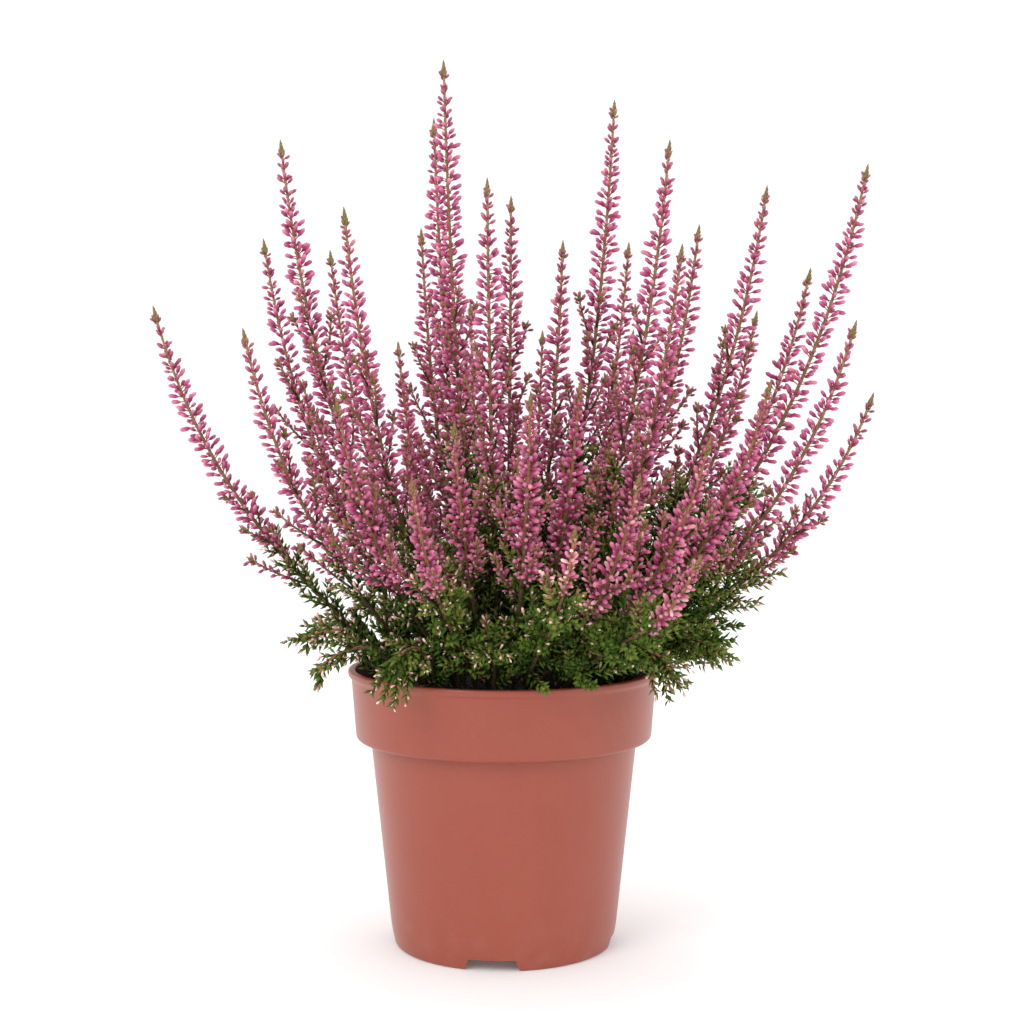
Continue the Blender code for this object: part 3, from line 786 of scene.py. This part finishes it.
class Shader:
    """A material's node tree, with short ways to add its nodes."""

    def __init__(self, name, roughness, specular=0.5):
        self.material = bpy.data.materials.new(name)
        self.material.use_nodes = True
        self.nodes = self.material.node_tree.nodes
        self.links = self.material.node_tree.links
        self.main = self.nodes["Principled BSDF"]
        self.main.inputs["Roughness"].default_value = roughness
        self.main.inputs["Specular IOR Level"].default_value = specular

    def node(self, kind, **values):
        """A new node with some of its settings."""
        made = self.nodes.new(kind)
        for key, value in values.items():
            setattr(made, key, value)
        return made

    def link(self, source, target):
        """Carry an output over to an input."""
        self.links.new(source, target)

    def mark(self, name):
        """One of the values that a pile keeps for each corner."""
        return self.node("ShaderNodeAttribute", attribute_name=name).outputs["Fac"]

    def place(self):
        """The place on the object."""
        return self.node("ShaderNodeTexCoord").outputs["Object"]

    def height(self):
        """The height above the floor."""
        split = self.node("ShaderNodeSeparateXYZ")
        self.link(self.place(), split.inputs["Vector"])
        return split.outputs["Z"]

    def noise(self, scale, detail=3.0, stretch=(1.0, 1.0, 1.0)):
        """Cloudy noise from 0 to 1."""
        mapping = self.node("ShaderNodeMapping")
        mapping.inputs["Scale"].default_value = stretch
        texture = self.node("ShaderNodeTexNoise")
        texture.inputs["Scale"].default_value = scale
        texture.inputs["Detail"].default_value = detail
        self.link(self.place(), mapping.inputs["Vector"])
        self.link(mapping.outputs["Vector"], texture.inputs["Vector"])
        return texture.outputs["Fac"]

    def ramp(self, source, stops):
        """The colour that a value stands for."""
        made = self.node("ShaderNodeValToRGB")
        band = made.color_ramp.elements
        while len(band) < len(stops):
            band.new(0.5)
        for element, (place, colour) in zip(band, stops):
            element.position = place
            element.color = (*colour, 1.0)
        self.link(source, made.inputs["Fac"])
        return made.outputs["Color"]

    def spread(self, source, to, over=(0.0, 1.0)):
        """A value carried from one range over to another."""
        made = self.node("ShaderNodeMapRange")
        for key, value in zip(("From Min", "From Max", "To Min", "To Max"), (*over, *to)):
            made.inputs[key].default_value = value
        self.link(source, made.inputs["Value"])
        return made.outputs["Result"]

    def times(self, one, other):
        """The product of two values."""
        made = self.node("ShaderNodeMath", operation="MULTIPLY")
        self.link(one, made.inputs[0])
        self.link(other, made.inputs[1])
        return made.outputs["Value"]

    def blend(self, share, one, other):
        """One colour with a share of the other, each an output or a plain colour."""
        made = self.node("ShaderNodeMix", data_type="RGBA")
        sockets = (made.inputs["Factor"], made.inputs[MIX_ONE], made.inputs[MIX_OTHER])
        for value, socket in zip((share, one, other), sockets):
            if isinstance(value, tuple):
                socket.default_value = (*value, 1.0)
            else:
                self.link(value, socket)
        return made.outputs[MIX_RESULT]

    def shade(self, colour, value, hue=None):
        """A colour made lighter or darker, and turned a little in hue."""
        made = self.node("ShaderNodeHueSaturation")
        if hue:
            self.link(hue, made.inputs["Hue"])
        self.link(value, made.inputs["Value"])
        self.link(colour, made.inputs["Color"])
        return made.outputs["Color"]

    def bump(self, height, depth, strength):
        """Fine relief of the surface."""
        made = self.node("ShaderNodeBump")
        made.inputs["Distance"].default_value = depth
        made.inputs["Strength"].default_value = strength
        self.link(height, made.inputs["Height"])
        self.link(made.outputs["Normal"], self.main.inputs["Normal"])

    def paint(self, colour):
        """The finished material, in a colour."""
        self.link(colour, self.main.inputs["Base Color"])
        return self.material


def bark_material():
    """Bark with a long grain, dark at the foot of a stem, partly as old bark and partly as painted shade
    low in the plant, light and young at its end.
    """
    shader = Shader("heather_bark", roughness=0.75, specular=0.15)
    grain = shader.noise(scale=900.0, detail=4.0, stretch=(1.0, 1.0, 0.25))
    tone = shader.ramp(shader.mark("share"), BARK_TONES)
    shader.bump(grain, depth=0.0002, strength=0.6)
    return shader.paint(shader.blend(shader.spread(grain, to=(0.0, 0.30)), tone, BARK_GRAIN))


def bud_material():
    """Pink buds: a brown stalk, dark at the cup, light at the end, duller when young, some pale."""
    shader = Shader("heather_bud", roughness=0.55, specular=0.13)
    along = shader.ramp(shader.mark("share"), BUD_TONES)
    youth = shader.spread(shader.mark("ripe"), to=(0.60, 0.0), over=(0.0, 0.75))
    darkened = shader.blend(youth, along, BUD_YOUNG)
    paleness = shader.spread(shader.mark("tint"), to=(0.0, 0.85), over=(0.64, 1.0))
    pale = shader.blend(paleness, darkened, BUD_PALE)
    hue = shader.spread(shader.mark("tint"), to=BUD_HUES)
    value = shader.spread(shader.mark("tint"), to=BUD_VALUES, over=(0.0, 0.8))
    toned = shader.shade(pale, value, hue)
    veins = shader.noise(scale=1400.0, detail=2.0)
    shader.bump(veins, depth=0.0001, strength=0.5)
    return shader.paint(shader.blend(shader.spread(veins, to=(0.0, 0.25)), toned, BUD_VEINS))


def inner_painted_shade(shader):
    """Painted shade on the leaves: how far they are darkened, most near the middle of the plant, low
    down, where shade falls inside the foliage.
    """
    flat = shader.node("ShaderNodeVectorMath", operation="MULTIPLY")
    flat.inputs[1].default_value = (1.0, 1.0, 0.0)
    reach = shader.node("ShaderNodeVectorMath", operation="LENGTH")
    shader.link(shader.place(), flat.inputs[0])
    shader.link(flat.outputs["Vector"], reach.inputs[0])
    near = shader.spread(reach.outputs["Value"], to=(1.0, 0.0), over=PAINTED_SHADE_REACH)
    low = shader.spread(shader.height(), to=(PAINTED_SHADE_MOST, 0.0), over=PAINTED_SHADE_HEIGHTS)
    return shader.times(near, low)


def leaf_material():
    """Green leaves with a lighter tip, from dark green to reddish brown by tint, darkened by painted
    shade near the middle of the plant, low down.
    """
    shader = Shader("heather_leaf", roughness=0.58, specular=0.10)
    tone = shader.ramp(shader.mark("tint"), LEAF_TONES)
    tip = shader.spread(shader.mark("share"), to=(0.0, 0.34), over=(0.5, 1.0))
    tipped = shader.blend(tip, tone, LEAF_TIP)
    grain = shader.noise(scale=1100.0, detail=2.0)
    shader.bump(grain, depth=0.0001, strength=0.4)
    # Painted shade: leaves darkened towards near-black near the middle of the plant, low down
    darkened = shader.blend(inner_painted_shade(shader), tipped, LEAF_PAINTED_SHADE)
    return shader.paint(shader.shade(darkened, shader.spread(grain, to=LEAF_VALUES)))


def plastic_material():
    """Terracotta-coloured plastic with faint clouds and flow marks, specks, and dust near its foot."""
    shader = Shader("terracotta_plastic", roughness=0.35, specular=0.45)
    cloud = shader.noise(scale=14.0)
    flow = shader.noise(scale=60.0, stretch=(1.0, 1.0, 0.08))
    speck = shader.noise(scale=1500.0, detail=2.0)
    colour = shader.blend(shader.spread(cloud, to=(0.0, 0.7), over=(0.35, 0.7)), PLASTIC, PLASTIC_CLOUD)
    colour = shader.blend(shader.spread(flow, to=(0.0, 0.28), over=(0.45, 0.75)), colour, PLASTIC_FLOW)
    dust_patch = shader.spread(shader.noise(scale=120.0, detail=5.0), to=(0.0, 1.0), over=(0.45, 0.7))
    dust_low = shader.spread(shader.height(), to=DUST_SHARES, over=(0.0, DUST_TOP_Z))
    colour = shader.blend(shader.times(dust_patch, dust_low), colour, DUST)
    colour = shader.blend(shader.spread(speck, to=(0.0, 0.35), over=(0.55, 0.8)), colour, PLASTIC_SPECK)
    shader.link(shader.spread(cloud, to=(0.27, 0.42)), shader.main.inputs["Roughness"])
    shader.bump(shader.noise(scale=700.0, detail=2.0), depth=0.00008, strength=0.5)
    return shader.paint(colour)


def soil_material():
    """Dark crumbly potting soil with lighter flecks."""
    shader = Shader("potting_soil", roughness=0.95)
    lumps = shader.noise(scale=420.0, detail=8.0)
    flecks = shader.noise(scale=1300.0, detail=4.0)
    tone = shader.ramp(lumps, SOIL_TONES)
    shader.bump(lumps, depth=0.0016, strength=1.0)
    fleck = shader.spread(flecks, to=(0.0, 0.6), over=(0.62, 0.75))
    return shader.paint(shader.blend(fleck, tone, SOIL_FLECK))


def rounded(outline):
    """The corners of an outline, each but the first and last replaced by a small curve."""
    made = [outline[0][0]]
    for (last, _), (corner, radius), (ahead, _) in zip(outline, outline[1:], outline[2:]):
        last, middle, ahead = (Vector(point) for point in (last, corner, ahead))
        before = (last - middle).length * ROUND_MOST
        after = (ahead - middle).length * ROUND_MOST
        reach = min(radius, before, after)
        start = middle + (last - middle).normalized() * reach
        stop = middle + (ahead - middle).normalized() * reach
        for i in range(ROUND_STEPS + 1):
            share = i / ROUND_STEPS
            made.append(tuple(start.lerp(middle, share).lerp(middle.lerp(stop, share), share)))
    made.append(outline[-1][0])
    return made


def turn_pot():
    """The pot's outline turned round its axis."""
    mesh = bpy.data.meshes.new("pot_shell")
    corners = [(radius, 0.0, height) for radius, height in rounded(POT_OUTLINE)]
    mesh.from_pydata(corners, [(i, i + 1) for i in range(len(corners) - 1)], [])
    pot = put("pot_shell", mesh)
    screw = pot.modifiers.new("Turn", "SCREW")
    screw.axis = "Z"
    screw.steps = POT_STEPS
    screw.render_steps = POT_STEPS
    screw.use_merge_vertices = True
    screw.merge_threshold = POT_MERGE
    return pot


def pot_openings():
    """Blocks for the foot notches, wider below, and rods for the drainage holes between them."""
    tools = bmesh.new()
    for i in range(NOTCHES):
        turn = NOTCH_TURN + i * math.tau / NOTCHES
        block = bmesh.ops.create_cube(tools, size=1.0)["verts"]
        for vert in block:
            low = vert.co.z < 0
            vert.co.x = BODY_FOOT_RADIUS * (vert.co.x + 1.0)
            vert.co.y *= NOTCH_WIDTH * (NOTCH_SPREAD if low else 1.0)
            vert.co.z = -NOTCH_HEIGHT if low else NOTCH_HEIGHT
        bmesh.ops.rotate(tools, verts=block, cent=(0, 0, 0), matrix=Matrix.Rotation(turn, 3, "Z"))
        between = Matrix.Rotation(turn + math.tau / (2 * NOTCHES), 4, "Z")
        place = between @ Matrix.Translation((DRAIN_RING, 0, FLOOR_UNDER_Z))
        bmesh.ops.create_cone(
            tools, cap_ends=True, segments=DRAIN_SIDES, radius1=DRAIN_RADIUS, radius2=DRAIN_RADIUS,
            depth=DRAIN_CUT, matrix=place,
        )
    mesh = bpy.data.meshes.new("pot_openings")
    tools.to_mesh(mesh)
    tools.free()
    return put("pot_openings", mesh)


def make_pot(material):
    """The pot as one moulding, with its notches and drainage holes cut."""
    pot = turn_pot()
    tool = pot_openings()
    boolean = pot.modifiers.new("Openings", "BOOLEAN")
    boolean.operation = "DIFFERENCE"
    boolean.solver = "EXACT"
    boolean.object = tool
    solid = bpy.data.meshes.new_from_object(pot.evaluated_get(bpy.context.evaluated_depsgraph_get()))
    pot.modifiers.clear()
    pot.data = solid
    bpy.data.objects.remove(tool)
    solid.materials.clear()
    solid.materials.append(material)
    solid.polygons.foreach_set("use_smooth", [True] * len(solid.polygons))
    solid.set_sharp_from_angle(angle=POT_SHARP)
    return pot


def make_crumbs(material):
    """Crumbs of soil that lie on it, in a few sizes."""
    ball = bmesh.new()
    bmesh.ops.create_icosphere(ball, subdivisions=1, radius=1.0)
    form = np.array([tuple(vert.co) for vert in ball.verts])
    faces = [tuple(vert.index for vert in face.verts) for face in ball.faces]
    ball.free()
    reach = np.sqrt(rng.random(CRUMBS)) * CRUMB_REACH
    turns = rng.random(CRUMBS) * math.tau
    size = rng.choice(CRUMB_SIZES, CRUMBS, p=CRUMB_CHANCES) * rng.uniform(*CRUMB_SPREAD, CRUMBS)
    heights = SOIL_TOP_Z - SOIL_DOME * (reach / SOIL_RADIUS) ** 2
    middle = np.stack([reach * np.cos(turns), reach * np.sin(turns), heights + size * CRUMB_RISE], axis=1)
    lumpy = form[None] * rng.uniform(*CRUMB_LUMPS, (CRUMBS, len(form), 1))
    pile = Pile()
    places = lumpy * size[:, None, None] + middle[:, None, :]
    pile.add(places, faces, 0, np.zeros(len(form)), rng.random(CRUMBS), np.ones(CRUMBS))
    crumbs = pile.finish("soil_crumbs", [material])
    crumbs.data.polygons.foreach_set("use_smooth", [False] * len(crumbs.data.polygons))
    return crumbs


def make_floor():
    """A wide pale floor, which isn't part of the object."""
    mesh = bpy.data.meshes.new("floor")
    corners = [(x * FLOOR_REACH, y * FLOOR_REACH, 0.0) for x, y in ((-1, -1), (1, -1), (1, 1), (-1, 1))]
    mesh.from_pydata(corners, [], [(0, 1, 2, 3)])
    shader = Shader("paper", roughness=0.9)
    shader.main.inputs["Emission Color"].default_value = WHITE
    shader.main.inputs["Emission Strength"].default_value = FLOOR_GLOW
    mesh.materials.append(shader.paint(shader.blend(shader.noise(scale=4.0), *PAPER_TONES)))
    floor = put("floor", mesh)


def light_scene():
    """Even white light from all round, with three soft lamps."""
    world = bpy.data.worlds.new("studio")
    bpy.context.scene.world = world
    world.use_nodes = True
    background = world.node_tree.nodes["Background"]
    background.inputs["Color"].default_value = WHITE
    background.inputs["Strength"].default_value = SKY_STRENGTH
    for name, (place, size, power) in LIGHTS.items():
        light = bpy.data.lights.new(name, "AREA")
        light.size = size
        light.energy = power
        lamp = put(name, light)
        lamp.location = place
        lamp.rotation_euler = (Vector(LIGHT_AIM) - Vector(place)).to_track_quat("-Z", "Y").to_euler()


def place_camera():
    """The camera where the photograph was taken from."""
    lens = bpy.data.cameras.new("camera")
    lens.sensor_width = SENSOR
    lens.lens = SENSOR * FOCAL_PIXELS / PHOTO_PIXELS
    camera = put("camera", lens)
    camera.location = CAMERA_PLACE
    camera.rotation_euler = (math.pi / 2 - CAMERA_DIP, 0.0, CAMERA_TURN)
    bpy.context.scene.camera = camera


def settle(piece, slot, *nodes):
    """A piece rides on the plant's only body and takes the place of nodes. The slot is not used."""
    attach(piece, "root")
    if nodes:
        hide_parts(*nodes)


def grow_plant():
    """All spires and shoots, each in the place of its CAD node."""
    materials = [bark_material(), bud_material(), leaf_material()]
    tips = [Vector(tip) for tip in SPIRE_TIPS]
    roots = [tip.xy * ROOT_SHARE for tip in tips]
    roots += [heading(bearing).xy * stand for bearing, stand, _, _ in SHOOTS]
    roots = spread_roots(roots)
    for i, tip in enumerate(tips):
        node = f"spire_{i + 1:02d}"
        settle(grow_spire(node, roots[i], np.array(tip), materials), "flower_spire", node)
    for i, (bearing, _, reach, height) in enumerate(SHOOTS):
        node = f"shoot_{i + 1:02d}"
        tip = heading(bearing) * reach + Vector((0.0, 0.0, height))
        root = roots[len(tips) + i]
        settle(grow_shoot(node, root, np.array(tip), materials), "leafy_shoot", node)


def main():
    """The plant, its pot and soil, then the studio."""
    grow_plant()
    settle(make_pot(plastic_material()), "pot", "pot")
    earth = soil_material()
    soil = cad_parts["soil"]
    soil.data.materials.clear()
    soil.data.materials.append(earth)
    settle(make_crumbs(earth), "soil")
    make_floor()
    light_scene()
    place_camera()
    bpy.context.scene.view_settings.view_transform = "Standard"


main()
